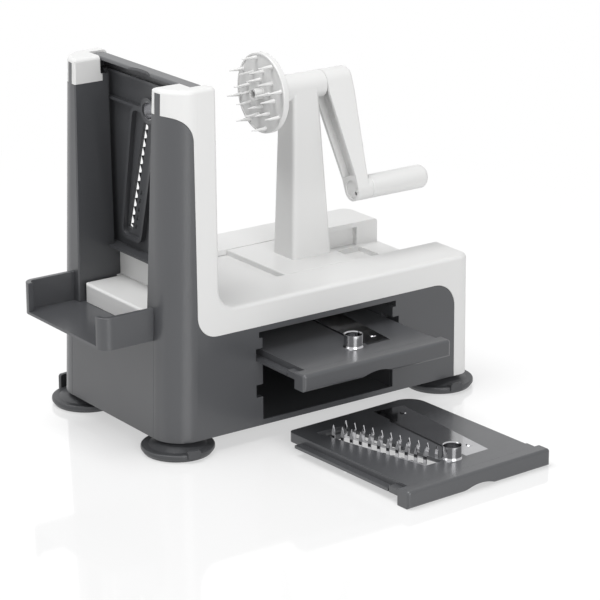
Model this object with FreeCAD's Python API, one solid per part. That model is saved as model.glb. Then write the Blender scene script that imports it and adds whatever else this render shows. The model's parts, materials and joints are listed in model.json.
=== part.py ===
"""Hand-cranked vegetable spiralizer, modelled as the separate pieces it is assembled from.

Millimetres. X runs along the crank axis, from the blade tower (-X) to the crank (+X). The plate
bay opens on -Y. +Z is up. The origin lies on the worktop, midway between the four suction cups.
"""

import FreeCAD, Part

import math
import os

V = FreeCAD.Vector

# ---- fits --------------------------------------------------------------------------------------
seam = 0.2                  # gap left between two mouldings that meet
slide_gap = 0.6             # side play of a plate in its slot
runner_gap = 0.2            # height play of a plate's runner in its groove
track_gap = 0.3             # height play of the carriage in its track
journal_gap = 0.05          # radial play of a shaft in its bush
face_gap = 0.3              # end play between turning pieces

# ---- body --------------------------------------------------------------------------------------
body_length = 275.0         # along X, at the bottom edge
body_width = 160.8          # along Y, at the bottom edge
foot_height = 11.0          # worktop to the body's bottom edge
deck_height = 106.0
band_height = 19.0          # white band above the grey sides
tower_height = 269.0
tower_depth = 43.9          # along X, at the bottom edge
wall = 2.5
tower_corner = 22.0         # upright corners at the tower end
crank_corner = 10.0         # upright corners at the crank end
end_lean = 0.026            # the tower's end face leans in by this much per mm of height
side_draft = 0.0135         # the long sides lean in by this much per mm of height
edge_round = 3.0
tower_blend = 15.0          # tower front into deck

# ---- tower -------------------------------------------------------------------------------------
gap_width = 91.2            # between the columns, at the height of the white band's lower edge
gap_flare = 0.031           # widening of each side of the gap, per mm of height
gap_bevel = 0.9             # upright edges of the gap at the tower's end
cap_skirt = 18.5            # height of the white caps
cap_return = 30.0           # the caps' white reaches this far into the gap, from the tower's foot
cap_arc = 18.0
cap_tongue_width = 6.0
cap_tongue_height = 15.5
cap_tongue_place = 58.0     # from the middle plane
cover_line = 24.7           # from the tower end to the white side strip, at the band
strip_lean = 0.003
cover_arc = 16.5            # strip into band
end_wrap = 16.2             # white wrap round the crank end
wrap_arc = 19.0
sill_height = 19.0          # above the deck
sill_depth = 4.5
sill_set_back = 0.4         # sill's front behind the tower's front
sill_ledge = 2.2            # top edge of the sill, reaching back under the plate
sill_ledge_height = 4.5
column_cap = 4.0            # solid top of each column's hollow, below the cap

# ---- carriage track ----------------------------------------------------------------------------
track_width = 77.6          # between the lips
lip_thickness = 4.0
undercut = 5.0              # reach of the undercut behind each lip
track_stop = 20.5           # length of the closed end of the track
track_floor = 2.0
track_lead = 4.0            # track's start, ahead of the sill
channel_depth = 4.0         # channel in the track's floor
channel_ledge = 8.0         # floor left at each side of the channel
channel_start = 8.0         # behind the tower's front

# ---- carriage ----------------------------------------------------------------------------------
sled_width = 86.0
sled_length = 190.0
sled_round = 2.0
nose_place = 6.0            # nose behind the tower's end face
pad_length = 66.1
pad_play = 0.4              # pad beside each lip
sled_wall = 2.5
rib_count = 4
rib_thickness = 2.0
axis_height = 236.0         # crank axis
head_radius = 10.4
head_length = 48.7
head_overhang = 14.8        # head ahead of the post's foot
post_foot = 36.1            # along X, at the pad
post_foot_width = 27.2
post_neck = 23.2            # along X, at the crank axis
post_neck_width = 20.8
post_lean = 2.8             # front edge of the neck behind that of the foot
post_set_back = 4.6         # foot ahead of the sled's tail
post_edge = 3.0
post_wall = 2.5
post_boss_height = 16.0
bush_length = 8.0
bush_wall = 2.6
shaft_radius = 4.0
shaft_room = 1.5            # round the shaft, between the bushes
shaft_key = 1.0             # depth of the flat at each end of the shaft
post_screw_spacing = 13.0
post_screw_sink = 4.0       # screws' seats above the sled's underside
post_screw_grip = 12.0      # screws' reach into the post

# ---- spiked disc -------------------------------------------------------------------------------
disc_radius = 30.3
disc_thickness = 5.0
disc_rim = 1.6
disc_recess = 0.5           # face behind the rim
disc_round = 0.8
disc_washer = 0.3           # disc's back in front of the bush
disc_seat = 2.4             # how far the shaft enters the disc
hub_tube_radius = 4.6
hub_tube_bore = 3.2
hub_tube_length = 7.0
prong_length = 12.0
prong_root = 1.7
prong_tip = 0.3
prong_sink = 1.2            # prong's root below the disc's face
prong_rings = ((10.0, 4, 85.0), (17.0, 8, 9.5), (26.6, 8, 32.0))   # radius, count, first angle
disc_screw_head = 1.8
disc_screw_length = 12.0

# ---- crank -------------------------------------------------------------------------------------
arm_radius = 83.4           # crank axis to grip axis
arm_angle = 21.6            # from straight down, towards the bay side
arm_hub_depth = 23.8
arm_bore_depth = 16.0
arm_end_depth = 11.7
arm_end_radius = 9.0
arm_set_back = 4.6          # arm end behind the hub's outer face
arm_wall = 2.6
arm_round = 2.2             # outer edges
arm_boss = 7.0              # round the shaft socket
arm_channel = 6.0           # depth of the channel on the inner side
channel_head = 5.0          # channel's upper end below the crank axis
channel_foot = 10.5         # channel's lower end above the grip axis
collar_length = 2.3
grip_length = 54.0
grip_root_radius = 9.0
grip_end_radius = 9.1
grip_round = 4.5
axle_radius = 2.5
axle_head_radius = 3.4
axle_head_height = 2.5
axle_room_radius = 5.4      # round the axle's head
axle_room = 0.5             # between the axle's head and its cover
axle_cover_radius = 6.7
axle_cover_thickness = 1.2
axle_cover_sink = 0.8       # cover behind the arm's inner edge
pry_hole = 1.5              # radius of the hole for taking the cover out
pry_hole_place = (-2.8, -3.7)   # from the grip axis, in the arm's own frame
axle_depth = 44.0

# ---- catch tray --------------------------------------------------------------------------------
tray_length = 40.5
tray_width = 112.0
tray_height = 24.0
tray_wall = 4.0
tray_corner = 8.0
tray_edge = 0.6             # rounding of the walls' upper edges
tray_mouth_play = 3.4       # mouth beside the sled
panel_lap = 5.0             # end panel behind each side housing

# ---- blade plates: u across, v from the lip front, w up from the working face --------------------
lip_drop = 1.0              # plate's lip below the tower's top
plate_recess = 1.9          # working face behind the tower's front
plate_depth = tower_height - lip_drop - deck_height - sill_height
plate_width = 118.0
plate_skin = 2.5
skirt_wall = 2.0
rib_depth = 6.2             # ribs, ring boss and window rim
lip_width = 133.0
lip_length = 12.0
lip_depth = 13.0
lip_round = 2.4
lip_edge = 2.0              # down-turned back edge of the lip
scoop_width = 30.0
scoop_depth = 3.5
runner_width = 129.6
runner_top = 5.0
runner_thickness = 2.2
runner_start = 24.0
skirt_depth = runner_top + runner_thickness
ear_length = 11.0
ear_top = 2.5
far_corner_left = 4.5
far_corner_right = 15.0
heel_width = 90.0
ring_place = 31.0           # along v
ring_outer = 7.0
ring_wall = 0.8
ring_rise = 9.5
ring_collar = 0.65
ring_collar_height = 1.4
ring_boss = 9.5
ring_edge = 0.8             # height of the sharpened rim
cross_rib_place = 30.0      # along v
blade_thickness = 1.0
blade_bevel = 2.4
blade_lift = 0.6            # cutting edge above the working face
blade_land = 6.0            # width of the raised strip behind the cutting edge
blade_corners = ((10.0, 27.0), (31.0, 27.0), (41.0, plate_depth - 11.0), (15.0, plate_depth - 8.0))
blade_edge = ((8.6, 46.0), (12.4, plate_depth - 29.0))
slot_width = 5.0            # opening under a cutting edge
slot_lead = 1.2             # opening ahead of a cutting edge
rivet_places = ((30.5, plate_depth - 23.0), (25.5, 41.0))
rivet_radius = 2.6
rivet_top_radius = 1.8
rivet_shank = 1.56
rivet_rise = 0.5
rivet_tail = 0.8
rim_wall = 2.8
rim_corner = 8.0
rim_corners = ((-22.6, 31.0), (-40.2, plate_depth - 8.6), (-12.5, plate_depth - 8.6), (13.3, 31.0))
tooth_edge = ((-10.8, 41.8), (-34.6, plate_depth - 18.4))   # window edge that the teeth reach
tooth_pitch = 7.2
tooth_reach = 5.3           # root to window edge
tooth_overlap = 0.4         # tips past the window edge
tooth_rise = 1.2
tooth_tip = 0.3             # width of a tip
tooth_bar = 7.0             # width of the strip that carries the teeth
tooth_bar_end = 3.0         # strip past the first and last tooth
chip_slot_count = 5
chip_slot_near = 4.0        # slots in the strip, behind the teeth's roots
chip_slot_width = 2.0
chip_slot_length = 4.2
window_end = 1.6            # window past the last tooth
lancet_rows = (((-8.0, 38.0), (-27.4, plate_depth - 27.2)), ((-19.0, 38.0), (-39.9, plate_depth - 28.6)))
lancet_window = ((-10.0, 30.3), (-25.4, 30.3), (-45.0, plate_depth - 15.0), (-21.4, plate_depth - 16.0))
lancet_pitch = 8.0
lancet_rise = 9.0
lancet_shoulder = 4.0       # height at which a lancet starts to narrow
lancet_width = 2.6
lancet_thickness = 0.8
lancet_bar_height = 1.5
lancet_bar_end = 4.0        # bar past the first and last lancet
lancet_rests = (33.0, plate_depth - 21.0)   # bars under the window, along v
lancet_rest_width = 3.0
lancet_rest_depth = 4.0

# ---- bay ---------------------------------------------------------------------------------------
bay_place = 2.2             # along X
bay_bottom = 15.1
bay_head = 4.3              # grey strip above the opening
bay_short = 3.0             # guides shorter than a plate
slot_height = 9.6           # notch that takes a runner and its ear
upper_slot = 60.6
slot_drop = 27.6            # lower slot below the upper one
head_notch = 3.0
head_notch_height = 4.7
guide_wall = 2.9
plate_pull = 48.7           # how far the bay plate stands out

# ---- loose plate -------------------------------------------------------------------------------
loose_turn = 2.5
loose_clearance = 103.2     # body's middle plane to the loose plate's far edge
loose_shift = 11.7

# ---- feet and fastenings -----------------------------------------------------------------------
foot_inset_x = 17.0         # cup centres from the body's ends
foot_inset_y = 18.2         # cup centres from the body's long sides
cup_radius = 27.0
cup_rim = 5.6
cup_rim_width = 5.4
cup_foot = 2.0              # bevel of the rim's underside
cup_neck = 9.0
cup_neck_flare = 3.0
cup_neck_height = 1.6
cup_hollow = 3.0
cup_skin = 3.4
cup_soft = 1.2              # roundings of the cup
tab_turn = 98.0             # direction of the pull tab, from +X towards the outside
tab_thickness = 2.8
tab_width = 10.0
tab_root = 1.5              # tab set into the rim
tab_round = 2.0
tab_rise_front = 6.0
tab_rise_rear = 13.0
stud_radius = 3.0
stud_head = 5.5
stud_head_height = 1.5
stud_nut = 2.5
base_thickness = 3.0
base_gap = 0.3
boss_radius = 4.5
boss_web = 2.0
pilot_radius = 1.5
pilot_depth = 20.0
screw_head = 3.2
screw_head_height = 1.4
screw_length = 12.0
screw_slot = 1.0
tower_boss_place = 8.6      # cover bosses beside the tower, behind its front
crank_boss_place = 37.5     # cover bosses from the crank end
cover_boss_inset = 18.4     # cover bosses from the long sides
side_boss_places = (39.5, 29.5)   # side bosses from the tower end and from the crank end
side_boss_height = 22.0

# ---- places worked out from the sizes ------------------------------------------------------------
tower_end = -body_length / 2
crank_end = body_length / 2
tower_front = tower_end + tower_depth
band_line = deck_height - band_height
far_out = 2 * (body_length + tower_height)   # reach of the cutting prisms
below = foot_height / 2     # start of cuts that come up from below the body
floor_under = band_line - track_floor
cap_line = tower_height - cap_skirt
plate_face = tower_front - plate_recess
slot_half = plate_width / 2 + slide_gap
runner_half = runner_width / 2 + slide_gap
plate_top = tower_height - lip_drop
sill_top = plate_top - plate_depth
sill_front = tower_front - sill_set_back
sill_back = sill_front - sill_depth
track_half = track_width / 2
undercut_half = track_half + undercut
trough_half = undercut_half + wall
trough_start = sill_back - track_lead + sill_set_back
trough_stop = crank_end - track_stop
channel_half = undercut_half - channel_ledge
channel_under = floor_under - channel_depth
lip_under = deck_height - lip_thickness
sled_nose = tower_end + nose_place
sled_tail = sled_nose + sled_length
sled_bottom = band_line + track_gap
sled_top = lip_under - track_gap
pad_half = track_half - pad_play
post_front = sled_tail - post_set_back - post_foot
head_nose = post_front - head_overhang
head_tail = head_nose + head_length
disc_back = head_nose - face_gap - disc_washer
disc_face = disc_back - disc_thickness
bush_radius = shaft_radius + journal_gap + bush_wall
arm_near = head_tail + face_gap
arm_far = arm_near + arm_hub_depth
arm_end_far = arm_far - arm_set_back
arm_end_near = arm_end_far - arm_end_depth
grip_axis = axis_height - arm_radius         # before the crank is turned to its rest
axle_start = arm_end_near + axle_cover_sink + axle_cover_thickness + axle_room
collar_far = arm_end_far + collar_length
grip_near = collar_far + face_gap
bay_top = band_line - bay_head
bay_back = -body_width / 2 + plate_depth - bay_short
base_top = foot_height + base_thickness
plate_z_upper = upper_slot + runner_gap + skirt_depth
stud_under = foot_height - cup_skin


# ---- drawing helpers -----------------------------------------------------------------------------
def in_xy(z):
    return lambda a, b: V(a, b, z)


def in_xz(y):
    return lambda a, b: V(a, y, b)


def in_yz(x):
    return lambda a, b: V(x, a, b)


def outline(corners, plane):
    """Closed wire through (a, b, radius) corners, each rounded by its own radius."""
    count = len(corners)
    pieces = []
    for i, (a, b, radius) in enumerate(corners):
        before = corners[i - 1]
        after = corners[(i + 1) % count]
        to_before = V(before[0] - a, before[1] - b, 0).normalize()
        to_after = V(after[0] - a, after[1] - b, 0).normalize()
        if radius <= 0:
            pieces.append((V(a, b, 0),))
            continue
        half_turn = to_before.getAngle(to_after) / 2
        run = radius / math.tan(half_turn)
        middle = (to_before + to_after).normalize() * (radius / math.sin(half_turn))
        corner = V(a, b, 0)
        arc_middle = corner + middle - (to_before + to_after).normalize() * radius
        pieces.append((corner + to_before * run, arc_middle, corner + to_after * run))
    edges = []
    for i, piece in enumerate(pieces):
        spots = [plane(p.x, p.y) for p in piece]
        if len(spots) == 3:
            edges.append(Part.Arc(*spots).toShape())
        start = spots[-1]
        following = pieces[(i + 1) % count][0]
        finish = plane(following.x, following.y)
        if start.distanceToPoint(finish) > 1e-6:
            edges.append(Part.LineSegment(start, finish).toShape())
    return Part.Wire(Part.__sortEdges__(edges))


def sharp(points):
    return [(a, b, 0) for a, b in points]


def rectangle(a0, a1, b0, b1, radius=0.0):
    return [(a0, b0, radius), (a1, b0, radius), (a1, b1, radius), (a0, b1, radius)]


def prism(wire, along):
    return Part.Face(wire).extrude(along)


def plan_prism(corners, z0, z1):
    return prism(outline(corners, in_xy(z0)), V(0, 0, z1 - z0))


def side_prism(corners, y0, y1):
    return prism(outline(corners, in_xz(y0)), V(0, y1 - y0, 0))


def end_prism(corners, x0, x1):
    return prism(outline(corners, in_yz(x0)), V(x1 - x0, 0, 0))


def box(x0, x1, y0, y1, z0, z1):
    return Part.makeBox(x1 - x0, y1 - y0, z1 - z0, V(x0, y0, z0))


def rod(radius, start, along):
    return Part.makeCylinder(radius, along.Length, start, along)


def cone(radius, radius_far, start, along):
    return Part.makeCone(radius, radius_far, along.Length, start, along)


def join(shapes):
    return shapes[0].multiFuse(shapes[1:]).removeSplitter()


def mirrored(shape):
    """The same shape on the other side of the middle plane."""
    return shape.mirror(V(0, 0, 0), V(0, 1, 0))


def both_sides(shape):
    return Part.makeCompound([shape, mirrored(shape)])


def round_edges(shape, radius, wanted):
    return shape.makeFillet(radius, [edge for edge in shape.Edges if wanted(edge)])


def runs_along(edge, axis):
    first = edge.valueAt(edge.FirstParameter)
    last = edge.valueAt(edge.LastParameter)
    return (last - first).normalize().dot(axis) ** 2 > 0.99


# ---- outer form of the body ------------------------------------------------------------------------
def body_plan(z, inset):
    rise = z - foot_height
    low_x = tower_end + end_lean * rise + inset
    high_x = crank_end - inset
    half = body_width / 2 - side_draft * rise - inset
    tower_r = tower_corner - inset
    crank_r = crank_corner - inset
    corners = [(low_x, -half, tower_r), (high_x, -half, crank_r), (high_x, half, crank_r),
               (low_x, half, tower_r)]
    return outline(corners, in_xy(z))


def gap_half(z):
    return gap_width / 2 + gap_flare * (z - band_line)


def tower_gap(inset, low):
    """The space between the columns, each side of it moved outwards by inset."""
    high = tower_height + edge_round
    corners = [(-gap_half(low) - inset, low), (gap_half(low) + inset, low),
               (gap_half(high) + inset, high), (-gap_half(high) - inset, high)]
    return end_prism(sharp(corners), tower_end - tower_depth, tower_front + 1)


def between_columns(x0, x1, z0, z1):
    """A piece that fills the gap between the columns but for a seam at each side."""
    low = gap_half(z0) - seam
    high = gap_half(z1) - seam
    return end_prism(sharp([(-low, z0), (low, z0), (high, z1), (-high, z1)]), x0, x1)


def body_form(inset, bottom):
    """The body's outer form without its edge rounding, moved inwards by inset."""
    top = tower_height + edge_round
    loft = Part.makeLoft([body_plan(bottom, inset), body_plan(top, inset)], True, True)
    deck = deck_height - inset
    front = tower_front - inset
    outside = tower_end - tower_depth
    corners = [(outside, bottom, 0), (crank_end + tower_depth, bottom, 0), (crank_end + tower_depth, deck, 0),
               (front, deck, tower_blend + inset), (front, tower_height - inset, 0),
               (outside, tower_height - inset, 0)]
    profile = side_prism(corners, -body_width, body_width)
    return loft.common(profile).cut(tower_gap(inset, band_line))


def gap_bevels():
    """What the bevels along the gap's upright edges at the tower's end leave out."""
    x = tower_end + end_lean * (band_line - foot_height)
    height = tower_height + edge_round - band_line
    tools = []
    for sign in (-1, 1):
        y = sign * gap_half(band_line)
        corners = [(x + gap_bevel + 1, y - sign), (x - 1, y + sign * (gap_bevel + 1)), (x - 1, y - sign)]
        tools.append(prism(outline(sharp(corners), in_xy(band_line)),
                           V(end_lean * height, sign * gap_flare * height, height)))
    return Part.makeCompound(tools)


def rounded_body():
    form = body_form(0.0, foot_height)

    def top_or_strip(edge):
        spot = edge.CenterOfMass
        near_side = abs(spot.y) > body_width / 2 - crank_corner
        on_top = spot.z > tower_height - 0.01
        on_deck = abs(spot.z - deck_height) < 0.01 and (near_side or spot.x > crank_end - crank_corner / 2)
        beside = near_side and spot.x < tower_front + tower_blend
        upright = beside and spot.z > deck_height and spot.x > tower_front - 0.01
        return on_top or on_deck or upright

    return round_edges(form, edge_round, top_or_strip).cut(gap_bevels())


def white_side_region(grow):
    """Side view of what the white cover covers, grown by grow, as a prism through the body."""
    low = band_line - grow
    outside = tower_end - tower_depth
    strip_x = tower_end + cover_line - grow
    cap_x = strip_x - strip_lean * (cap_line - cover_arc - cap_arc - low)
    wrap_x = crank_end - end_wrap - grow
    corners = [(outside, cap_line - grow, 0), (cap_x, cap_line - grow, cap_arc),
               (strip_x, low, cover_arc), (wrap_x, low, wrap_arc), (wrap_x, below, 0),
               (crank_end + tower_depth, below, 0), (crank_end + tower_depth, far_out, 0), (outside, far_out, 0)]
    region = side_prism(corners, -body_width, body_width)
    inner = slot_half - grow
    inside = box(outside, sill_back, -inner, inner, below, cap_line - grow)
    cap_inside = box(tower_end + cap_return + grow, sill_back, -inner, inner, below,
                     tower_height - wall - grow)
    tongue_half = cap_tongue_width / 2 - grow
    tongue_top = cap_line + cap_tongue_height - grow
    tongue = box(outside, tower_end + tower_depth / 3, cap_tongue_place - tongue_half,
                 cap_tongue_place + tongue_half, deck_height, tongue_top)
    return region.cut(inside.fuse(cap_inside)).cut(both_sides(tongue))


def plate_slot():
    """What the tower plate needs free in the columns and the caps."""
    depth = plate_face - skirt_depth - face_gap
    body_room = box(depth, far_out, -slot_half, slot_half, sill_top, far_out)
    groove_near = plate_face - runner_top + runner_gap
    groove_far = plate_face - runner_top - runner_thickness - runner_gap
    groove = box(groove_far, groove_near, -runner_half, runner_half, sill_top, far_out)
    ear_room = box(groove_far, plate_face - ear_top + runner_gap, -runner_half, runner_half,
                   plate_top - lip_length - ear_length - face_gap, far_out)
    lip_half = lip_width / 2 + slide_gap
    lip_room = box(plate_face - lip_depth - slide_gap, far_out, -lip_half, lip_half,
                   plate_top - lip_length - face_gap, far_out)
    return join([body_room, groove, ear_room, lip_room])


def side_bosses(sign):
    """Screw bosses low on a side wall, with the piece of wall that carries them."""
    bosses = []
    for x, y in side_screw_places():
        if y * sign > 0:
            y0, y1 = sorted((y, y + sign * boss_radius))
            bosses.append(rod(boss_radius, V(x, y, base_top), V(0, 0, side_boss_height)))
            bosses.append(box(x - boss_web / 2, x + boss_web / 2, y0, y1, base_top,
                              base_top + side_boss_height))
    return join(bosses)


def side_screw_places():
    y = body_width / 2 - wall - boss_radius
    places = (tower_end + side_boss_places[0], crank_end - side_boss_places[1])
    return [(x, sign * y) for x in places for sign in (-1, 1)]


def cover_screw_places():
    y = body_width / 2 - cover_boss_inset
    places = (tower_front + tower_boss_place, crank_end - crank_boss_place)
    return [(x, sign * y) for x in places for sign in (-1, 1)]


def pilots(places):
    return Part.makeCompound([rod(pilot_radius, V(x, y, foot_height), V(0, 0, pilot_depth))
                              for x, y in places])


def housings(outer):
    """The two grey side housings with their columns, front (-Y) and rear (+Y)."""
    white = outer.cut(body_form(wall + seam, below)).common(white_side_region(seam))
    outside = tower_end - tower_depth
    room_floor = floor_under - wall
    low_room = body_form(wall, below)
    low_room = low_room.cut(box(outside, tower_front + 0.1, -body_width, body_width, room_floor, far_out))
    column_room = body_form(2 * wall + seam, room_floor - 1)
    column_room = column_room.common(box(tower_end, tower_front + 1, -body_width, body_width,
                                         room_floor - 1, cap_line - column_cap))
    groove_wall = box(plate_face - skirt_depth - face_gap - wall, far_out, -runner_half - wall,
                      runner_half + wall, sill_top - wall, far_out)
    trough_room = box(trough_start, far_out, -trough_half - seam, trough_half + seam,
                      channel_under - wall, sill_top - 2 * wall)
    end_opening = box(outside, tower_end + tower_corner + wall, -tray_width / 2, tray_width / 2, below,
                      band_line)
    inner_half = gap_half(band_line)
    passage = box(outside, tower_front + tower_depth, -inner_half, inner_half, below, band_line + 0.1)
    grey = outer.cut(white).cut(low_room).cut(column_room.cut(groove_wall))
    grey = grey.cut(Part.makeCompound([trough_room, end_opening])).cut(passage).cut(plate_slot())
    halves = []
    for sign in (-1, 1):
        y0, y1 = sorted((0, sign * far_out))
        side = box(-far_out, far_out, y0, y1, 0, far_out)
        halves.append(join([grey.common(side), side_bosses(sign)]).cut(pilots(side_screw_places())))
    halves[0] = halves[0].cut(bay_opening())
    return halves


def slot_bottoms():
    return (upper_slot, upper_slot - slot_drop)


def bay_opening():
    """The opening in the front wall, with the notches that the runners pass through."""
    near = -body_width
    far = -body_width / 2 + wall + side_draft * bay_top + runner_gap
    pieces = [box(bay_place - slot_half, bay_place + slot_half, near, far, bay_bottom, bay_top)]
    for bottom in slot_bottoms():
        pieces.append(box(bay_place - runner_half, bay_place + runner_half, near, far, bottom,
                          bottom + slot_height))
    notch = slot_half + head_notch
    pieces.append(box(bay_place - notch, bay_place + notch, near, far, bay_top - head_notch_height, bay_top))
    return join(pieces)


def end_panel(outer):
    """The grey panel below the tray, with a lap behind each side housing."""
    half = tray_width / 2 - seam
    far = tower_end + tower_corner
    top = floor_under - seam
    window = box(tower_end - tower_depth, far, -half, half, foot_height, top)
    panel = outer.cut(body_form(wall, below)).common(window)
    deep = body_form(2 * wall, below)
    behind = body_form(wall + seam, below).cut(deep)
    behind = behind.common(box(tower_end, far, -half - panel_lap, half + panel_lap, base_top, top - wall))
    bridge = body_form(wall - seam / 2, below).cut(deep)
    bridge = bridge.common(box(tower_end, far, -half, half, base_top, top - wall))
    middle = box(tower_end, far, -half + panel_lap, half - panel_lap, base_top, floor_under)
    return join([panel, behind.cut(middle), bridge.cut(middle)])


def catch_tray():
    """Open tray under the blades; its floor reaches in between the columns to the track."""
    half = tray_width / 2
    tip = tower_end - tray_length
    face = tower_end + end_lean * (band_line - foot_height) - seam
    behind = face + tower_depth / 2
    outer = plan_prism([(tip, -half, tray_corner), (face + 2, -half, 0), (face + 2, half, 0),
                        (tip, half, tray_corner)],
                       floor_under, floor_under + tray_height)
    inner_corner = tray_corner - tray_wall
    room = plan_prism([(tip + tray_wall, -half + tray_wall, inner_corner), (behind, -half + tray_wall, 0),
                       (behind, half - tray_wall, 0), (tip + tray_wall, half - tray_wall, inner_corner)],
                      band_line, far_out)
    mouth = sled_width / 2 + tray_mouth_play
    doorway = box(tip - 1, tip + tray_wall + 1, -mouth, mouth, band_line, far_out)
    tray = outer.cut(room).cut(doorway)
    lean_far = face + end_lean * (far_out - band_line)
    lean = [(face, band_line), (far_out, band_line), (far_out, far_out), (lean_far, far_out)]
    tray = tray.cut(side_prism(sharp(lean), -half - 1, half + 1))
    tray = tray.cut(box(face, behind, -half - 1, half + 1, floor_under - 1, band_line))

    def wall_top(edge):
        return edge.CenterOfMass.z > floor_under + tray_height - 0.01 and edge.CenterOfMass.x < face - seam

    tray = round_edges(tray, tray_edge, wall_top)
    tongue_half = gap_half(band_line) - seam
    tongue = box(face - 1, trough_start - seam, -tongue_half, tongue_half, floor_under, band_line)
    return join([tray, tongue])


def upper_cover(outer):
    """White cover: deck, band, end wall, column skins, caps, sill and the carriage track."""
    skin = outer.cut(body_form(wall, below)).common(white_side_region(0.0))
    trough = box(trough_start, far_out, -trough_half, trough_half, floor_under, deck_height - wall / 2)
    under_lips = box(trough_start, tower_front + 2, -trough_half, trough_half, floor_under, lip_under)
    trough = trough.common(body_form(wall / 2, below).fuse(under_lips))
    sill = between_columns(sill_back, sill_front, floor_under + 1, sill_top)
    ledge = between_columns(sill_back - sill_ledge, sill_front, sill_top - sill_ledge_height, sill_top)
    deck_tie = box(sill_front - 1, tower_front + tower_blend + wall, -trough_half, trough_half,
                   deck_height - wall, deck_height)
    pan_start = tower_front + channel_start
    pan = box(pan_start, trough_stop + track_floor, -channel_half - track_floor, channel_half + track_floor,
              channel_under, floor_under + 1)
    bosses = [rod(boss_radius, V(x, y, base_top), V(0, 0, deck_height - wall / 2 - base_top))
              for x, y in cover_screw_places()]
    cover = join([skin, trough, sill, ledge, deck_tie, pan] + bosses)
    opening = box(sill_front, far_out, -track_half, track_half, band_line, far_out)
    passage = box(-far_out, trough_stop, -undercut_half, undercut_half, band_line, lip_under)
    channel = box(pan_start + track_floor, trough_stop, -channel_half, channel_half,
                  band_line - channel_depth, band_line + 1)
    cover = cover.cut(join([opening, passage, channel])).cut(pilots(cover_screw_places()))
    return cover.cut(plate_slot().cut(box(-far_out, far_out, -far_out, far_out, 0, sill_top)))


def base_plate():
    """Flat bottom plate that carries the feet and the screws."""
    plate = prism(body_plan(foot_height, wall + base_gap), V(0, 0, base_thickness))
    through = V(0, 0, base_thickness + 2)
    holes = [rod(stud_radius, V(x, y, foot_height - 1), through) for x, y in foot_places()]
    for x, y in cover_screw_places() + side_screw_places():
        holes.append(rod(pilot_radius + seam, V(x, y, foot_height - 1), through))
        holes.append(rod(screw_head + seam, V(x, y, foot_height - 1), V(0, 0, 1 + screw_head_height)))
    return plate.cut(Part.makeCompound(holes))


def base_screws():
    screws = []
    for x, y in cover_screw_places() + side_screw_places():
        head = rod(screw_head, V(x, y, foot_height), V(0, 0, screw_head_height))
        shank = rod(pilot_radius, V(x, y, foot_height + 1), V(0, 0, screw_length - 1))
        drive = box(x - screw_slot / 2, x + screw_slot / 2, y - screw_head, y + screw_head,
                    foot_height - 1, foot_height + screw_head_height / 2)
        screws.append(join([head, shank]).cut(drive))
    return Part.makeCompound(screws)


def drawer_guide(sign):
    """Rail beside the bay with a groove for each plate position."""
    near = bay_place + sign * slot_half
    x0, x1 = sorted((near, bay_place + sign * (runner_half + guide_wall)))
    front = -body_width / 2 + side_draft * (bay_top - foot_height) + wall + seam
    top = channel_under - seam
    rail = box(x0, x1, front, bay_back, base_top, top)
    groove_x = sorted((near - sign, bay_place + sign * runner_half))
    notch_x = sorted((near - sign, bay_place + sign * (slot_half + head_notch)))
    lead = front + ear_length
    for bottom in slot_bottoms():
        groove_top = bottom + 2 * runner_gap + skirt_depth - ear_top
        rail = rail.cut(box(groove_x[0], groove_x[1], front - 1, bay_back + 1, bottom, groove_top))
        rail = rail.cut(box(groove_x[0], groove_x[1], front - 1, lead, bottom, bottom + slot_height))
    return rail.cut(box(notch_x[0], notch_x[1], front - 1, lead, bay_top - head_notch_height, floor_under))


# ---- feet ------------------------------------------------------------------------------------------
def foot_places():
    x = body_length / 2 - foot_inset_x
    y = body_width / 2 - foot_inset_y
    return [(sx * x, sy * y) for sx in (-1, 1) for sy in (-1, 1)]


def suction_cup(x, y):
    """Rubber cup: thick rim, domed top with a neck, hollow below, and a pull tab on the rim."""
    rim_in = cup_radius - cup_rim_width
    flare = cup_neck + cup_neck_flare
    corners = [(0, stud_under, 0), (cup_neck, stud_under, cup_soft),
               (rim_in - cup_soft, cup_hollow, cup_soft),
               (rim_in + cup_foot, 0, cup_soft / 3), (cup_radius - cup_foot, 0, cup_soft / 3),
               (cup_radius, cup_rim / 2, cup_soft), (cup_radius, cup_rim, cup_soft),
               (rim_in, cup_rim, cup_soft),
               (flare, foot_height - cup_neck_height, cup_soft), (cup_neck, foot_height, cup_soft / 2),
               (0, foot_height, 0)]
    cup = Part.Face(outline(corners, in_xz(0))).revolve(V(0, 0, 0), V(0, 0, 1), 360)
    cup.rotate(V(0, 0, 0), V(0, 0, 1), 180)
    cup = cup.cut(rod(stud_radius, V(0, 0, 0), V(0, 0, far_out)))
    height = tab_rise_rear if y > 0 else tab_rise_front
    low = cup_rim / 2
    near = cup_radius - tab_root
    tab = end_prism([(-tab_width / 2, low, 0), (tab_width / 2, low, 0),
                     (tab_width / 2, low + height, tab_round),
                     (-tab_width / 2, low + height, tab_round)], near, near + tab_thickness)
    cup = join([cup, tab])
    cup.rotate(V(0, 0, 0), V(0, 0, 1), math.copysign(tab_turn, y))
    cup.translate(V(x, y, 0))
    return cup


def foot_studs():
    """Steel studs that clamp the cups to the base plate."""
    studs = []
    for x, y in foot_places():
        head = rod(stud_head, V(x, y, stud_under - stud_head_height), V(0, 0, stud_head_height))
        shank = rod(stud_radius, V(x, y, stud_under - 1), V(0, 0, base_top + stud_nut - stud_under + 1))
        nut = plan_prism([(x + stud_head * math.cos(a), y + stud_head * math.sin(a), 0)
                          for a in (math.radians(60 * k) for k in range(6))], base_top, base_top + stud_nut)
        studs.append(join([head, shank, nut]))
    return Part.makeCompound(studs)


# ---- carriage --------------------------------------------------------------------------------------
def post_screw_places():
    middle = post_front + post_foot / 2
    return [middle - post_screw_spacing / 2, middle + post_screw_spacing / 2]


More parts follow.
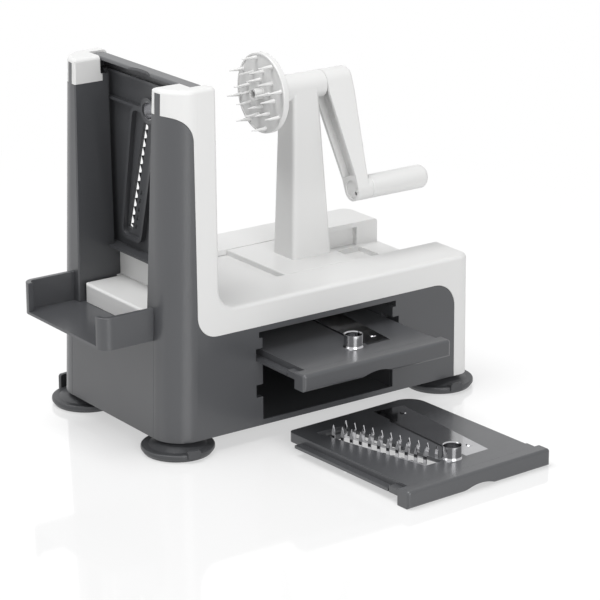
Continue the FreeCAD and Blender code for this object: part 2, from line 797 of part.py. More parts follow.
def carriage_sled():
    """Sliding sled: flat T-section under the track lips, with the pad for the post flush with the deck."""
    half = sled_width / 2
    base = end_prism(rectangle(-half, half, sled_bottom, sled_top), sled_nose, sled_tail)

    def nose_edge(edge):
        return edge.CenterOfMass.x < sled_nose + 0.01 and edge.CenterOfMass.z > sled_bottom + 0.01

    base = round_edges(base, sled_round, nose_edge)
    pad_start = sled_tail - pad_length
    pad = box(pad_start, sled_tail, -pad_half, pad_half, sled_top - 1, deck_height)

    def pad_edge(edge):
        return edge.CenterOfMass.z > deck_height - 0.01 and edge.CenterOfMass.x < sled_tail - 0.01

    sled = join([base, round_edges(pad, sled_round / 2, pad_edge)])
    pitch = (sled_length - pad_length - sled_wall) / rib_count
    rooms = []
    for i in range(rib_count):
        x0 = sled_nose + sled_wall + i * pitch
        rooms.append(box(x0, x0 + pitch - rib_thickness, -half + sled_wall, half - sled_wall,
                         sled_bottom - 1, sled_top - sled_wall))
    rooms.append(box(pad_start + sled_wall, sled_tail - sled_wall, -pad_half + sled_wall,
                     pad_half - sled_wall,
                     sled_bottom - 1, deck_height - sled_wall))
    sled = sled.cut(Part.makeCompound(rooms))
    low = sled_bottom + post_screw_sink
    parts = [sled]
    for x in post_screw_places():
        parts.append(rod(boss_radius, V(x, 0, low), V(0, 0, deck_height - 1 - low)))
    parts.append(box(post_screw_places()[0], sled_tail - sled_wall + 0.5, -boss_web / 2, boss_web / 2,
                     low, deck_height - 1))
    holes = [rod(pilot_radius + seam, V(x, 0, 0), V(0, 0, far_out)) for x in post_screw_places()]
    return join(parts).cut(Part.makeCompound(holes))


def post_screws():
    screws = []
    seat = sled_bottom + post_screw_sink
    for x in post_screw_places():
        head = rod(screw_head, V(x, 0, seat - screw_head_height), V(0, 0, screw_head_height))
        shank = rod(pilot_radius, V(x, 0, seat - 0.5), V(0, 0, deck_height + post_screw_grip - seat + 0.5))
        screws.append(join([head, shank]))
    return Part.makeCompound(screws)


def post_section(z, inset):
    """Outline of the post at a height, moved inwards by inset."""
    share = (z - deck_height) / (axis_height - deck_height)
    front = post_front + post_lean * share + inset
    far = post_front + post_foot + (post_lean + post_neck - post_foot) * share - inset
    half = (post_foot_width + (post_neck_width - post_foot_width) * share) / 2 - inset
    return outline(rectangle(front, far, -half, half, post_edge - inset), in_xy(z))


def crank_post():
    """Hollow tapered upright with the horizontal bearing head."""
    shell = Part.makeLoft([post_section(deck_height, 0), post_section(axis_height, 0)], True, True)
    head = rod(head_radius, V(head_nose, 0, axis_height), V(head_length, 0, 0))

    def nose_rim(edge):
        return edge.Length > math.pi * head_radius and edge.CenterOfMass.x < head_nose + 1

    head = round_edges(head, 1.0, nose_rim)
    room_top = axis_height - head_radius - 1
    room = Part.makeLoft([post_section(deck_height - 1, post_wall), post_section(room_top, post_wall)],
                         True, True)
    parts = [join([shell, head]).cut(room)]
    web_half = post_foot_width / 2 - post_wall / 2
    for x in post_screw_places():
        parts.append(rod(boss_radius, V(x, 0, deck_height), V(0, 0, post_boss_height)))
        parts.append(box(x - boss_web / 2, x + boss_web / 2, -web_half, web_half,
                         deck_height, deck_height + post_boss_height))
    post = join(parts)
    cuts = [rod(pilot_radius, V(x, 0, deck_height - 1), V(0, 0, post_boss_height - 1))
            for x in post_screw_places()]
    cuts.append(rod(shaft_radius + shaft_room, V(head_nose - 1, 0, axis_height), V(head_length + 2, 0, 0)))
    for x in (head_nose - 1, head_tail - bush_length):
        cuts.append(rod(bush_radius, V(x, 0, axis_height), V(bush_length + 1, 0, 0)))
    return post.cut(Part.makeCompound(cuts))


def bush(x0):
    sleeve = rod(bush_radius, V(x0, 0, axis_height), V(bush_length, 0, 0))
    return sleeve.cut(rod(shaft_radius + journal_gap, V(x0 - 1, 0, axis_height), V(bush_length + 2, 0, 0)))


# ---- turning pieces ----------------------------------------------------------------------------------
def shaft_flat(x0, x1, grow):
    """What the flat at a shaft end leaves out."""
    return box(x0, x1, -far_out, far_out, axis_height + shaft_radius - shaft_key + grow, far_out)


def crank_shaft():
    start = disc_back - disc_seat
    finish = arm_near + arm_bore_depth
    shaft = rod(shaft_radius, V(start, 0, axis_height), V(finish - start, 0, 0))
    shaft = shaft.cut(shaft_flat(start - 1, disc_back, 0)).cut(shaft_flat(head_tail, finish + 1, 0))
    thread = disc_screw_length - disc_thickness + disc_seat + disc_recess + 1
    return shaft.cut(rod(pilot_radius, V(start - 1, 0, axis_height), V(thread + 1, 0, 0)))


def shaft_socket(x0, x1):
    socket = rod(shaft_radius + journal_gap, V(x0, 0, axis_height), V(x1 - x0, 0, 0))
    return socket.cut(shaft_flat(x0 - 1, x1 + 1, journal_gap))


def spiked_disc():
    """Disc with three rings of pointed prongs round a hollow middle spigot."""
    plate = rod(disc_radius, V(disc_face, 0, axis_height), V(disc_thickness, 0, 0))
    plate = round_edges(plate, disc_round, lambda e: e.Length > math.pi * disc_radius)
    recess = rod(disc_radius - disc_rim, V(disc_face - 1, 0, axis_height), V(1 + disc_recess, 0, 0))
    tip = disc_face - hub_tube_length
    tube = rod(hub_tube_radius, V(tip, 0, axis_height), V(hub_tube_length + prong_sink, 0, 0))
    parts = [plate.cut(recess), tube]
    for radius, count, first in prong_rings:
        for k in range(count):
            angle = math.radians(first + 360 * k / count)
            root = V(disc_face + prong_sink, radius * math.cos(angle), axis_height + radius * math.sin(angle))
            parts.append(cone(prong_root, prong_tip, root, V(-prong_length - prong_sink, 0, 0)))
    disc = join(parts)
    disc = disc.cut(rod(hub_tube_bore, V(tip - 1, 0, axis_height), V(hub_tube_length + 1, 0, 0)))
    disc = disc.cut(rod(pilot_radius + seam, V(disc_face - 1, 0, axis_height), V(disc_thickness + 2, 0, 0)))
    return disc.cut(shaft_socket(disc_back - disc_seat, disc_back + 1))


def disc_screw():
    head = rod(hub_tube_bore - seam, V(disc_face - disc_screw_head, 0, axis_height), V(disc_screw_head, 0, 0))
    shank = rod(pilot_radius, V(disc_face - 1, 0, axis_height), V(disc_screw_length, 0, 0))
    drive = box(disc_face - disc_screw_head - 1, disc_face - disc_screw_head / 2, -screw_slot / 2,
                screw_slot / 2,
                axis_height - hub_tube_bore, axis_height + hub_tube_bore)
    return join([head, shank]).cut(drive)


def link_outline(radius, end_radius, length, plane):
    """Two circles, the second straight below the first, joined by their outer tangents."""
    lean = math.asin((radius - end_radius) / length)
    side = V(math.cos(lean), -math.sin(lean), 0)
    other = V(-side.x, side.y, 0)
    low = V(0, -length, 0)
    spots = [side * radius, V(0, radius, 0), other * radius, low + other * end_radius,
             low + V(0, -end_radius, 0), low + side * end_radius]
    p = [plane(s.x, s.y) for s in spots]
    edges = [Part.Arc(p[0], p[1], p[2]).toShape(), Part.LineSegment(p[2], p[3]).toShape(),
             Part.Arc(p[3], p[4], p[5]).toShape(), Part.LineSegment(p[5], p[0]).toShape()]
    return Part.Wire(edges)


def hanging(shape):
    """Turns a piece drawn straight below the crank axis to where the crank rests."""
    turned = shape.copy()
    turned.rotate(V(0, 0, axis_height), V(1, 0, 0), -arm_angle)
    return turned


def arm_plane(x):
    return lambda a, b: V(x, a, axis_height + b)


def arm_inner(z):
    """Where the arm's inner edge is at a height."""
    share = (axis_height - head_radius - z) / (arm_radius - head_radius - arm_end_radius)
    return arm_near + (arm_end_near - arm_near) * min(max(share, 0), 1)


def arm_side():
    """Side view of the arm: deep below the hub, shallow at the grip."""
    low = grip_axis - arm_end_radius - 1
    knee = axis_height - head_radius
    top = axis_height + 2 * head_radius
    end = grip_axis + arm_end_radius
    return sharp([(arm_near, top), (arm_near, knee), (arm_end_near, end), (arm_end_near, low),
                  (arm_end_far, low),
                  (arm_end_far, end), (arm_far, knee), (arm_far, top)])


def arm_hollow():
    """The channel on the arm's inner side, between the hub's boss and the axle."""
    knee = axis_height - head_radius
    high = axis_height - channel_head
    low = grip_axis + channel_foot
    side = [(arm_near - 1, low), (arm_inner(low) + arm_channel, low), (arm_near + arm_channel, knee),
            (arm_near + arm_channel, high), (arm_near - 1, high)]
    inner = link_outline(head_radius - arm_wall, arm_end_radius - arm_wall, arm_radius,
                         arm_plane(arm_near - 1))
    channel = prism(inner, V(arm_hub_depth, 0, 0)).common(side_prism(sharp(side), -head_radius, head_radius))
    return channel.cut(rod(arm_boss, V(arm_near - 2, 0, axis_height), V(arm_hub_depth, 0, 0)))


def crank_arm():
    """Arm with a round hub, a channel on its inner side, the axle's seat and a collar for the grip."""
    arm = prism(link_outline(head_radius, arm_end_radius, arm_radius, arm_plane(arm_near)),
                V(arm_hub_depth, 0, 0))
    arm = arm.common(side_prism(arm_side(), -head_radius - 1, head_radius + 1))

    def outer_rim(edge):
        spot = edge.CenterOfMass
        share = min(max((axis_height - spot.z) / arm_radius, 0), 1)
        crosswise = runs_along(edge, V(0, 1, 0)) and edge.Curve.TypeId.endswith("Line")
        return spot.x > arm_far - arm_set_back * share - 1 and not crosswise

    arm = round_edges(arm, arm_round, outer_rim)
    collar = rod(arm_end_radius, V(arm_end_far - arm_round - 1, 0, grip_axis),
                 V(collar_length + arm_round + 1, 0, 0))
    arm = join([arm.cut(arm_hollow()), collar])
    seat = axle_start + axle_head_height
    cover_seat = arm_end_near + axle_cover_sink + axle_cover_thickness
    for radius, far in ((axle_radius, far_out), (axle_room_radius, seat),
                        (axle_cover_radius + seam, cover_seat)):
        arm = arm.cut(rod(radius, V(arm_near, 0, grip_axis), V(far - arm_near, 0, 0)))
    return hanging(arm).cut(shaft_socket(arm_near - 1, arm_near + arm_bore_depth + seam))


def axle_cover():
    """Cap over the axle's head, with a small hole for taking it out."""
    start = arm_end_near + axle_cover_sink
    cap = rod(axle_cover_radius, V(start, 0, grip_axis), V(axle_cover_thickness, 0, 0))
    a, b = pry_hole_place
    return hanging(cap.cut(rod(pry_hole, V(start - 1, a, grip_axis + b), V(axle_cover_thickness + 2, 0, 0))))


def grip_axle():
    """Shoulder screw through the arm, on which the grip turns."""
    head = rod(axle_head_radius, V(axle_start, 0, grip_axis), V(axle_head_height, 0, 0))
    shank = rod(axle_radius, V(axle_start + 1, 0, grip_axis),
                V(grip_near + axle_depth - axle_start - 1, 0, 0))
    drive = box(axle_start - 1, axle_start + axle_head_height / 2, -screw_slot / 2, screw_slot / 2,
                grip_axis - axle_head_radius, grip_axis + axle_head_radius)
    return hanging(join([head, shank]).cut(drive))


def grip():
    """Turning handle, slightly fuller at its free end."""
    far = grip_near + grip_length
    corners = [(grip_near, 0, 0), (far, 0, 0), (far, grip_end_radius, grip_round),
               (grip_near, grip_root_radius, disc_round)]
    handle = Part.Face(outline(corners, in_xz(0))).revolve(V(0, 0, 0), V(1, 0, 0), 360)
    handle.translate(V(0, 0, grip_axis))
    bore = rod(axle_radius + journal_gap, V(grip_near - 1, 0, grip_axis), V(axle_depth + 1 + face_gap, 0, 0))
    return hanging(handle.cut(bore))


# ---- blade plates ------------------------------------------------------------------------------------
def plate_blank(openings):
    """The grey plate common to all three: lip with finger scoop, skirt, runners, ears, ribs and heel."""
    half = plate_width / 2
    top = plan_prism([(-half, lip_length - skirt_wall, 0), (half, lip_length - skirt_wall, 0),
                      (half, plate_depth, far_corner_right), (-half, plate_depth, far_corner_left)], -skirt_depth, 0)
    inner = half - skirt_wall
    far_inner = plate_depth - skirt_wall
    room = plan_prism([(-inner, 0, 0), (inner, 0, 0), (inner, far_inner, far_corner_right - skirt_wall),
                       (-inner, far_inner, far_corner_left - skirt_wall)], -skirt_depth - 1, -plate_skin)
    lip = box(-lip_width / 2, lip_width / 2, 0, lip_length, -lip_depth, 0)

    def lip_rim(edge):
        spot = edge.CenterOfMass
        across = runs_along(edge, V(1, 0, 0))
        at_end = abs(spot.x) > lip_width / 2 - 0.01 and (spot.z > -0.01 or spot.y < 0.01)
        return at_end or across and (spot.z > -0.01 or spot.y < 0.01)

    lip = round_edges(lip, lip_round, lip_rim)
    lip_inner = lip_width / 2 - skirt_wall
    lip_room = box(-lip_inner, lip_inner, skirt_wall, lip_length - skirt_wall, -lip_depth - 1, -skirt_wall)
    lip_back = box(-lip_inner, lip_inner, skirt_wall, lip_length + 1, -lip_depth - 1, -plate_skin - lip_edge)
    reach = (scoop_width ** 2 / 4 + scoop_depth ** 2) / (2 * scoop_depth)
    scoop = rod(reach, V(0, -1, -lip_depth - reach + scoop_depth), V(0, skirt_wall + 2, 0))
    runner_x = runner_width / 2
    parts = [top.cut(room), lip.cut(lip_room).cut(lip_back)]
    for sign in (-1, 1):
        x0, x1 = sorted((sign * (half - 1), sign * runner_x))
        parts.append(box(x0, x1, runner_start, plate_depth - far_corner_right, -skirt_depth, -runner_top))
        parts.append(box(x0, x1, lip_length - 1, lip_length + ear_length, -skirt_depth, -ear_top))
        x0, x1 = sorted((sign * (ring_boss - 1), sign * (inner + 1)))
        parts.append(box(x0, x1, cross_rib_place, cross_rib_place + skirt_wall, -rib_depth, -1))
    parts.append(box(-heel_width / 2, heel_width / 2, plate_depth - skirt_wall, plate_depth, -lip_depth, -1))
    parts.append(rod(ring_boss, V(0, ring_place, -rib_depth), V(0, 0, rib_depth - 1)))
    rim = outline([(a, b, rim_corner) for a, b in rim_corners], in_xy(-rib_depth))
    inside = outline([(a, b, rim_corner) for a, b in rim_corners],
                     in_xy(-rib_depth - 1)).makeOffset2D(-rim_wall)
    parts.append(prism(rim, V(0, 0, rib_depth - 1)).cut(prism(inside, V(0, 0, rib_depth + 1 - plate_skin))))
    bore = rod(ring_outer, V(0, ring_place, -far_out), V(0, 0, 2 * far_out))
    return join(parts).cut(scoop).cut(Part.makeCompound([bore, rivet_holes()] + openings))


def ring():
    """Steel coring ring with a small foot collar on the working face."""
    low = 1 - rib_depth
    outer = rod(ring_outer, V(0, ring_place, low), V(0, 0, ring_rise - low))
    collar = cone(ring_outer + ring_collar, ring_outer, V(0, ring_place, 0), V(0, 0, ring_collar_height))
    bore = rod(ring_outer - ring_wall, V(0, ring_place, low - 1), V(0, 0, ring_rise - low + 2))
    sharpen = cone(ring_outer - ring_wall, ring_outer - ring_wall / 4,
                   V(0, ring_place, ring_rise - ring_edge),
                   V(0, 0, ring_edge + 0.01))
    return join([outer, collar]).cut(bore).cut(sharpen)


def blade_seat():
    """Recess in the working face for the slicing blade, clear of the coring ring."""
    seat = plan_prism(sharp(blade_corners), -blade_thickness, lip_depth)
    clear = ring_outer + ring_collar + 1.0
    return seat.cut(rod(clear, V(0, ring_place, -lip_depth), V(0, 0, 3 * lip_depth)))


def edge_slot():
    """Opening below the cutting edge, through which the slices leave."""
    (a0, b0), (a1, b1) = blade_edge
    near = -slot_lead
    deep = [(a0 + near, b0), (a0 + slot_width, b0), (a1 + slot_width, b1), (a1 + near, b1)]
    shallow = [(a0 + near, b0), (a0 + blade_bevel, b0), (a1 + blade_bevel, b1), (a1 + near, b1)]
    return plan_prism(sharp(deep), -2 * lip_depth, -blade_thickness).fuse(plan_prism(sharp(shallow),
                                                                                     -lip_depth, 1))


def slicing_blade():
    """Flat polished blade with a ground edge."""
    sheet = blade_seat().common(box(-far_out, far_out, 0, far_out, -lip_depth, 0))
    (a0, b0), (a1, b1) = blade_edge
    edge = plan_prism(sharp([(a0, b0), (a0 + blade_land, b0), (a1 + blade_land, b1), (a1, b1)]),
                      -blade_thickness, blade_lift)
    slope = math.atan2(blade_lift + blade_thickness, blade_bevel)
    tool = box(-far_out, 0, -far_out, far_out, 0, lip_depth)
    tool.rotate(V(0, 0, 0), V(0, 1, 0), -math.degrees(slope))
    tool.rotate(V(0, 0, 0), V(0, 0, 1), -math.degrees(math.atan2(a1 - a0, b1 - b0)))
    tool.translate(V(a0, b0, -blade_thickness))
    return join([sheet, edge.cut(tool)]).cut(rivet_holes())


def rivet_holes():
    return Part.makeCompound([rod(rivet_shank, V(a, b, -lip_depth), V(0, 0, 2 * lip_depth)) for a,
                              b in rivet_places])


def rivets():
    """Rivets that hold the slicing blade in its seat."""
    made = []
    for a, b in rivet_places:
        head = cone(rivet_radius, rivet_top_radius, V(a, b, 0), V(0, 0, rivet_rise))
        shank = rod(rivet_shank, V(a, b, -plate_skin - rivet_tail),
                    V(0, 0, plate_skin + rivet_tail + rivet_rise / 2))
        tail = rod(rivet_radius, V(a, b, -plate_skin - rivet_tail), V(0, 0, rivet_tail))
        made.append(join([head, shank, tail]))
    return Part.makeCompound(made)


def line_length(line):
    (a0, b0), (a1, b1) = line
    return math.hypot(a1 - a0, b1 - b0)


def laid_along(shape, line):
    """Turns and moves a piece drawn along +v from the origin so that it lies along a line of the plate."""
    (a0, b0), (a1, b1) = line
    shape.rotate(V(0, 0, 0), V(0, 0, 1), math.degrees(math.atan2(a0 - a1, b1 - b0)))
    shape.translate(V(a0, b0, 0))
    return shape


def lancets():
    """Two combs of small upright lancet blades on their steel bars."""
    combs = []
    thick = lancet_thickness / 2
    half = lancet_width / 2
    for row in lancet_rows:
        length = line_length(row)
        count = round(length / lancet_pitch)
        parts = [box(-thick, thick, -lancet_bar_end, length + lancet_bar_end,
                     -plate_skin - lancet_bar_height, -plate_skin)]
        for k in range(count + 1):
            place = length * k / count
            foot = -plate_skin - lancet_bar_height / 2
            leaf = [(place - half, foot), (place + half, foot), (place + half, lancet_shoulder),
                    (place, lancet_rise), (place - half, lancet_shoulder)]
            parts.append(end_prism(sharp(leaf), -thick, thick))
        combs.append(laid_along(join(parts), row))
    return combs


def lancet_seat():
    """Bars under the lancet window that carry the combs."""
    far = max(-a for a, _ in lancet_window) + rim_wall
    half = lancet_rest_width / 2
    return [box(-far, 1 - ring_boss, place - half, place + half, -plate_skin - lancet_rest_depth,
                seam - plate_skin)
            for place in lancet_rests]


def tooth_places():
    """Start, middle and end of each notch between two teeth, along the strip."""
    length = line_length(tooth_edge)
    count = round(length / tooth_pitch)
    step = length / count
    return [(k * step, (k + 0.5) * step, (k + 1) * step) for k in range(count)]


def chip_slots():
    """Small slots behind the lower teeth, through strip and plate."""
    near = tooth_reach + chip_slot_near
    half = chip_slot_length / 2
    slots = [box(near, near + chip_slot_width, middle - half, middle + half, -2 * lip_depth, lip_depth)
             for _, middle, _ in tooth_places()[-chip_slot_count:]]
    return laid_along(Part.makeCompound(slots), tooth_edge)


def tooth_strip():
    """Steel strip with a row of raised teeth; their tips stand over the window's far edge."""
    length = line_length(tooth_edge)
    bar = box(tooth_reach, tooth_reach + tooth_bar, -tooth_bar_end, length + tooth_bar_end,
              -blade_thickness, 0)
    bent = side_prism(sharp([(tooth_reach + 1, -blade_thickness), (tooth_reach + 1, 0), (tooth_reach, 0),
                             (-tooth_overlap, tooth_rise), (-tooth_overlap, tooth_rise - blade_thickness),
                             (tooth_reach, -blade_thickness)]), 0, length)
    notches = []
    for start, middle, finish in tooth_places():
        corners = [(-tooth_overlap - 1, start + tooth_tip / 2), (-tooth_overlap, start + tooth_tip / 2),
                   (tooth_reach, middle), (-tooth_overlap, finish - tooth_tip / 2),
                   (-tooth_overlap - 1, finish - tooth_tip / 2)]
        notches.append(plan_prism(sharp(corners), -lip_depth, lip_depth))
    strip = join([bar, bent]).cut(Part.makeCompound(notches))
    return laid_along(strip, tooth_edge).cut(chip_slots())


def tooth_window():
    """Opening under the teeth and the seat of their strip."""
    length = line_length(tooth_edge)
    through = box(0, tooth_reach + 1, 0, length + window_end, -2 * lip_depth, lip_depth)
    seat = box(tooth_reach - seam, tooth_reach + tooth_bar + seam, -tooth_bar_end - seam,
               length + tooth_bar_end + seam, -blade_thickness, lip_depth)
    return [laid_along(through.fuse(seat), tooth_edge), chip_slots()]


def slicing_plate():
    return plate_blank([blade_seat(), edge_slot()])


def noodle_plate():
    return plate_blank(tooth_window() + [blade_seat(), edge_slot()])


def lancet_plate():
    window = plan_prism(sharp(lancet_window), -lip_depth, lip_depth)
    plate = plate_blank([window, blade_seat(), edge_slot()])
    return join([plate] + lancet_seat()).cut(Part.makeCompound(lancets()))


def in_tower(shape):
    """Stands a plate in the tower, working face towards the crank, lip on top."""
    placed = shape.copy()
    placed.Placement = FreeCAD.Placement(FreeCAD.Matrix(0, 0, 1, plate_face,
                                                        -1, 0, 0, 0,
                                                        0, -1, 0, plate_top)).multiply(placed.Placement)
    return placed


def in_bay(shape):
    """Lays a plate in the upper slot of the bay, pulled part of the way out."""
    placed = shape.copy()
    front = -body_width / 2 + side_draft * (upper_slot - foot_height) - lip_length - face_gap
    placed.translate(V(bay_place, front - plate_pull, plate_z_upper))
    return placed


def on_worktop(shape):
    """Lays a plate on the worktop in front of the bay."""
    placed = shape.copy()
    placed.rotate(V(0, 0, 0), V(0, 0, 1), loose_turn)
    placed.translate(V(loose_shift, -loose_clearance - plate_depth, lip_depth))
    return placed


# ---- the assembly --------------------------------------------------------------------------------------
def build():
    outer = rounded_body()
    front, rear = housings(outer)
    nodes = {
        "front_housing": front,
        "rear_housing": rear,
        "end_panel": end_panel(outer),
        "catch_tray": catch_tray(),
        "base_plate": base_plate(),
        "upper_cover": upper_cover(outer),
        "left_drawer_guide": drawer_guide(-1),
        "right_drawer_guide": drawer_guide(1),
        "foot_studs": foot_studs(),
        "base_screws": base_screws(),
        "carriage_sled": carriage_sled(),
        "crank_post": crank_post(),
        "post_screws": post_screws(),
        "front_bush": bush(head_nose),
        "rear_bush": bush(head_tail - bush_length),
        "crank_shaft": crank_shaft(),
        "spiked_disc": spiked_disc(),
        "disc_screw": disc_screw(),
        "crank_arm": crank_arm(),
        "grip_axle": grip_axle(),
        "axle_cover": axle_cover(),
        "grip": grip(),
    }
    corner_names = ("front_left", "rear_left", "front_right", "rear_right")
    for name, (x, y) in zip(corner_names, foot_places()):
        nodes["suction_cup_" + name] = suction_cup(x, y)
    nodes["tower_plate"] = in_tower(noodle_plate())
    nodes["tower_ring"] = in_tower(ring())
    nodes["tower_blade"] = in_tower(slicing_blade())
    nodes["tower_teeth"] = in_tower(tooth_strip())
    nodes["tower_rivets"] = in_tower(rivets())
    nodes["drawer_plate"] = in_bay(slicing_plate())
    nodes["drawer_ring"] = in_bay(ring())
    nodes["drawer_blade"] = in_bay(slicing_blade())
    nodes["drawer_rivets"] = in_bay(rivets())
    nodes["loose_plate"] = on_worktop(lancet_plate())
    nodes["loose_ring"] = on_worktop(ring())
    nodes["loose_blade"] = on_worktop(slicing_blade())
    nodes["loose_lancets"] = on_worktop(Part.makeCompound(lancets()))
    nodes["loose_rivets"] = on_worktop(rivets())
    return nodes


os.makedirs("parts", exist_ok=True)
for name, shape in build().items():
    solids = len(shape.Solids)
    print(f"{name:24s} solids {solids}  valid {shape.isValid()}  volume {shape.Volume / 1000:.1f} cm3")
    shape.exportStep(f"parts/{name}.step")
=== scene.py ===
"""Looks of the hand-cranked spiralizer: finishes of its mouldings and steel, floor, light and camera."""

import json
import math

import bpy
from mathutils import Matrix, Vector

# ---- named values: lengths in metres, powers in watts, colours linear -------------------------------
white = (1.0, 1.0, 1.0)

flow_clouds = 9.0              # patterns, as repeats per metre
handling_marks = 38.0
steel_lines = 9.0
steel_stretch = (240.0, 26.0, 240.0)
steel_wear = 55.0
steel_spots = 700.0
rubber_bloom = 60.0
rubber_grain = 900.0

floor_size = 12.0
floor_drop = 0.0004            # floor under the worktop plane, clear of the cups' rings
floor_clear = 0.30             # around the object the floor mirrors it
floor_faded = 0.75             # from here on it is plain white
floor_shade = 0.42
floor_glow = 0.50
floor_gloss = 0.06

room_light = 0.30
light_target = (0.0, 0.0, 0.1)
light_size = 1.2
lights = {
    "top_light": ((-0.5, 0.1, 1.8), 24.0),
    "tower_light": ((-1.6, 0.4, 0.9), 5.0),
    "bay_light": ((-0.4, -1.8, 0.7), 18.0),
}

camera_place = (-1.1116, -1.5832, 0.7144)
camera_tilt = 71.69            # degrees up from looking straight down
camera_turn = -35.882          # degrees round from looking along +Y
camera_lens = 161.1            # mm
camera_sensor = 36.0           # mm
camera_reach = 30.0

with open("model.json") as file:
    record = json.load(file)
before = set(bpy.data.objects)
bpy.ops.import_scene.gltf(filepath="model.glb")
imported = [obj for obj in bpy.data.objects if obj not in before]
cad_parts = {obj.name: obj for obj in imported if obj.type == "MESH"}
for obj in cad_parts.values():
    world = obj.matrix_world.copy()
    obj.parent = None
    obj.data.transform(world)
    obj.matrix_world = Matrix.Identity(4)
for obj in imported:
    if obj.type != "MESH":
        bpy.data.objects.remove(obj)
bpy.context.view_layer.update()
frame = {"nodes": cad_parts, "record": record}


# ---- shader maths ----------------------------------------------------------------------------------
class Value:
    """A shader socket; arithmetic on it adds Math nodes to its tree."""

    def __init__(self, shader, socket):
        self.shader = shader
        self.socket = socket

    def math(self, operation, first, second):
        return self.shader.node("ShaderNodeMath", {"operation": operation}, [first, second])

    def __add__(self, other):
        return self.math("ADD", self, other)

    def __mul__(self, other):
        return self.math("MULTIPLY", self, other)

    def __sub__(self, other):
        return self.math("SUBTRACT", self, other)

    def __rsub__(self, other):
        return self.math("SUBTRACT", other, self)

    __radd__ = __add__
    __rmul__ = __mul__

    def at_least(self, other):
        return self.math("MAXIMUM", self, other)

    def at_most(self, other):
        return self.math("MINIMUM", self, other)


class Shader:
    """The node tree of a material or of the world."""

    def __init__(self, owner, output="ShaderNodeOutputMaterial"):
        self.owner = owner
        owner.use_nodes = True
        self.tree = owner.node_tree
        self.tree.nodes.clear()
        self.output = self.tree.nodes.new(output)

    def put(self, socket, value):
        if isinstance(value, Value):
            self.tree.links.new(value.socket, socket)
        else:
            socket.default_value = value

    def node(self, kind, settings=None, inputs=(), output=0):
        """Adds a node: its settings first, then the values or links of its sockets."""
        made = self.tree.nodes.new(kind)
        for name, value in (settings or {}).items():
            setattr(made, name, value)
        pairs = inputs.items() if isinstance(inputs, dict) else enumerate(inputs)
        for key, value in pairs:
            self.put(made.inputs[key], value)
        return Value(self, made.outputs[output])

    def place(self):
        """Object coordinates in metres."""
        return self.node("ShaderNodeTexCoord", output="Object")

    def noise(self, scale, detail=2.0, place=None, roughness=0.5):
        inputs = {"Vector": place or self.place(), "Scale": scale, "Detail": detail, "Roughness": roughness}
        return self.node("ShaderNodeTexNoise", {}, inputs, "Fac")

    def mix(self, factor, first, second):
        """Colour between first and second; the numbers are the Mix node's colour sockets."""
        return self.node("ShaderNodeMix", {"data_type": "RGBA"}, {0: factor, 6: first, 7: second}, 2)

    def bump(self, height, distance):
        return self.node("ShaderNodeBump", {}, {"Height": height, "Distance": distance})

    def principled(self, **sockets):
        """Principled surface; socket names are written with underscores."""
        inputs = {name.replace("_", " "): value for name, value in sockets.items()}
        return self.node("ShaderNodeBsdfPrincipled", {}, inputs)

    def finish(self, surface):
        self.tree.links.new(surface.socket, self.output.inputs["Surface"])
        return self.owner


def tone(r, g, b):
    return (r, g, b, 1.0)


# ---- finishes --------------------------------------------------------------------------------------
def moulded_plastic(name, colour, shade, gloss, grain, grain_depth, coat=0.0):
    """Moulded plastic: faint flow clouds, a fine spark-eroded grain and slightly uneven gloss."""
    shader = Shader(bpy.data.materials.new(name))
    clouds = shader.noise(flow_clouds, 3.0)
    base = shader.mix(clouds, tone(*colour), tone(*(c * shade for c in colour)))
    fine = shader.noise(grain)
    handling = shader.noise(handling_marks, 4.0, roughness=0.6)
    rough = gloss + (handling - 0.5) * 0.10 + (fine - 0.5) * 0.06
    return shader.finish(shader.principled(Base_Color=base, Roughness=rough.at_least(0.05).at_most(0.95),
                                           Normal=shader.bump(fine, grain_depth),
                                           Coat_Weight=coat, Coat_Roughness=0.12))


def polished_steel():
    """Bright strip steel with fine drawn lines and slight wear."""
    shader = Shader(bpy.data.materials.new("polished_steel"))
    drawn = shader.node("ShaderNodeMapping", {}, {"Vector": shader.place(), "Scale": steel_stretch})
    lines = shader.noise(steel_lines, 3.0, drawn)
    wear = shader.noise(steel_wear, 4.0)
    base = shader.mix(wear, tone(0.42, 0.42, 0.435), tone(0.52, 0.52, 0.53))
    rough = 0.06 + lines * 0.08 + wear * 0.04
    return shader.finish(shader.principled(Base_Color=base, Metallic=1.0, Roughness=rough,
                                           Normal=shader.bump(lines, 0.000004)))


def plain_steel():
    """Untreated steel of the fasteners and the shaft, faintly spotted."""
    shader = Shader(bpy.data.materials.new("plain_steel"))
    spots = shader.noise(steel_spots, 3.0)
    base = shader.mix(spots, tone(0.42, 0.42, 0.43), tone(0.55, 0.55, 0.56))
    return shader.finish(shader.principled(Base_Color=base, Metallic=1.0, Roughness=0.32 + spots * 0.12,
                                           Normal=shader.bump(spots, 0.00001)))


def soft_rubber():
    """Dark rubber with a pale bloom."""
    shader = Shader(bpy.data.materials.new("soft_rubber"))
    bloom = shader.noise(rubber_bloom, 4.0, roughness=0.65)
    base = shader.mix(bloom, tone(0.030, 0.031, 0.034), tone(0.060, 0.062, 0.066))
    return shader.finish(shader.principled(Base_Color=base, Roughness=0.36 + bloom * 0.16,
                                           Normal=shader.bump(shader.noise(rubber_grain), 0.000015)))


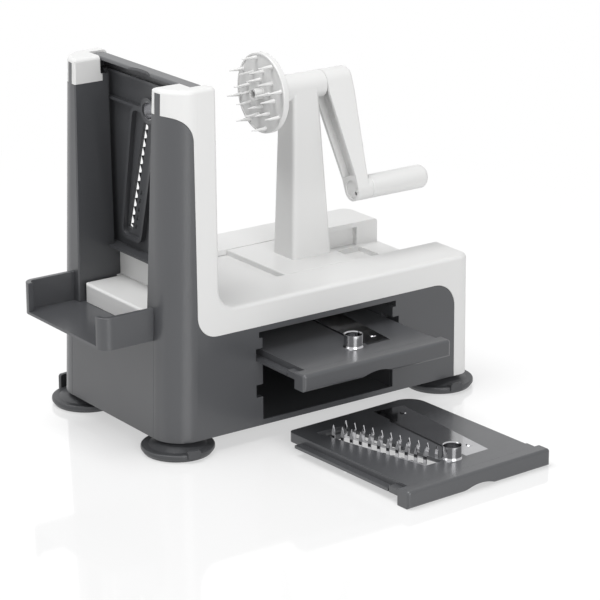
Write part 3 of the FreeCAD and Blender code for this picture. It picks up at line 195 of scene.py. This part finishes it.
finishes = {
    "grey_moulding": moulded_plastic("grey_plastic", (0.067, 0.069, 0.074), shade=0.92, gloss=0.34,
                                     grain=1500.0, grain_depth=0.00002, coat=0.2),
    "white_moulding": moulded_plastic("white_plastic", (0.70, 0.70, 0.695), shade=0.98, gloss=0.36,
                                      grain=1700.0, grain_depth=0.00001),
    "bush_plastic": moulded_plastic("acetal", (0.72, 0.71, 0.67), shade=0.95, gloss=0.40,
                                    grain=1500.0, grain_depth=0.00001),
    "polished_steel": polished_steel(),
    "brushed_steel": plain_steel(),
    "dark_rubber": soft_rubber(),
}

for part in frame["record"]["subparts"]:
    for slot in frame["nodes"][part["node"]].material_slots:
        slot.material = finishes[part["material_slot"]]


# ---- floor, light and camera -----------------------------------------------------------------------
def studio_floor():
    """Glossy white tabletop that fades to plain white away from the object."""
    bpy.ops.mesh.primitive_plane_add(size=floor_size, location=(0.0, 0.0, -floor_drop))
    floor = bpy.context.object
    floor.name = "studio_floor"
    shader = Shader(bpy.data.materials.new("white_tabletop"))
    distance = shader.node("ShaderNodeVectorMath", {"operation": "LENGTH"}, [shader.place()], "Value")
    far = shader.node("ShaderNodeMapRange", {"interpolation_type": "SMOOTHSTEP"},
                      {"Value": distance, "From Min": floor_clear, "From Max": floor_faded})
    shade = tone(floor_shade, floor_shade, floor_shade)
    gloss = shader.principled(Base_Color=shade, Roughness=floor_gloss,
                              Emission_Color=tone(*white), Emission_Strength=floor_glow)
    plain = shader.node("ShaderNodeEmission", {}, {"Color": tone(*white)})
    to_camera = shader.node("ShaderNodeLightPath", output="Is Camera Ray")
    floor.data.materials.append(shader.finish(
        shader.node("ShaderNodeMixShader", {}, [far * to_camera, gloss, plain])))


def studio_world():
    """White room, plain white to the camera and in reflections."""
    world = bpy.data.worlds.new("studio")
    bpy.context.scene.world = world
    shader = Shader(world, "ShaderNodeOutputWorld")
    room = shader.node("ShaderNodeBackground", {}, {"Color": tone(*white), "Strength": room_light})
    plain = shader.node("ShaderNodeBackground", {}, {"Color": tone(*white)})
    to_camera = shader.node("ShaderNodeLightPath", output="Is Camera Ray")
    reflected = shader.node("ShaderNodeLightPath", output="Is Glossy Ray")
    shader.finish(shader.node("ShaderNodeMixShader", {}, [to_camera.at_least(reflected), room, plain]))


def soft_light(name, place, power):
    data = bpy.data.lights.new(name, "AREA")
    data.shape = "DISK"
    data.size = light_size
    data.energy = power
    light = bpy.data.objects.new(name, data)
    bpy.context.scene.collection.objects.link(light)
    light.location = place
    light.rotation_euler = (Vector(light_target) - Vector(place)).to_track_quat("-Z", "Y").to_euler()


def studio_camera():
    data = bpy.data.cameras.new("camera")
    data.lens = camera_lens
    data.sensor_width = camera_sensor
    data.clip_end = camera_reach
    camera = bpy.data.objects.new("camera", data)
    bpy.context.scene.collection.objects.link(camera)
    camera.location = camera_place
    camera.rotation_euler = (math.radians(camera_tilt), 0.0, math.radians(camera_turn))
    bpy.context.scene.camera = camera


studio_floor()
studio_world()
for light_name, (light_place, light_power) in lights.items():
    soft_light(light_name, light_place, light_power)
studio_camera()
bpy.context.scene.view_settings.view_transform = "Standard"
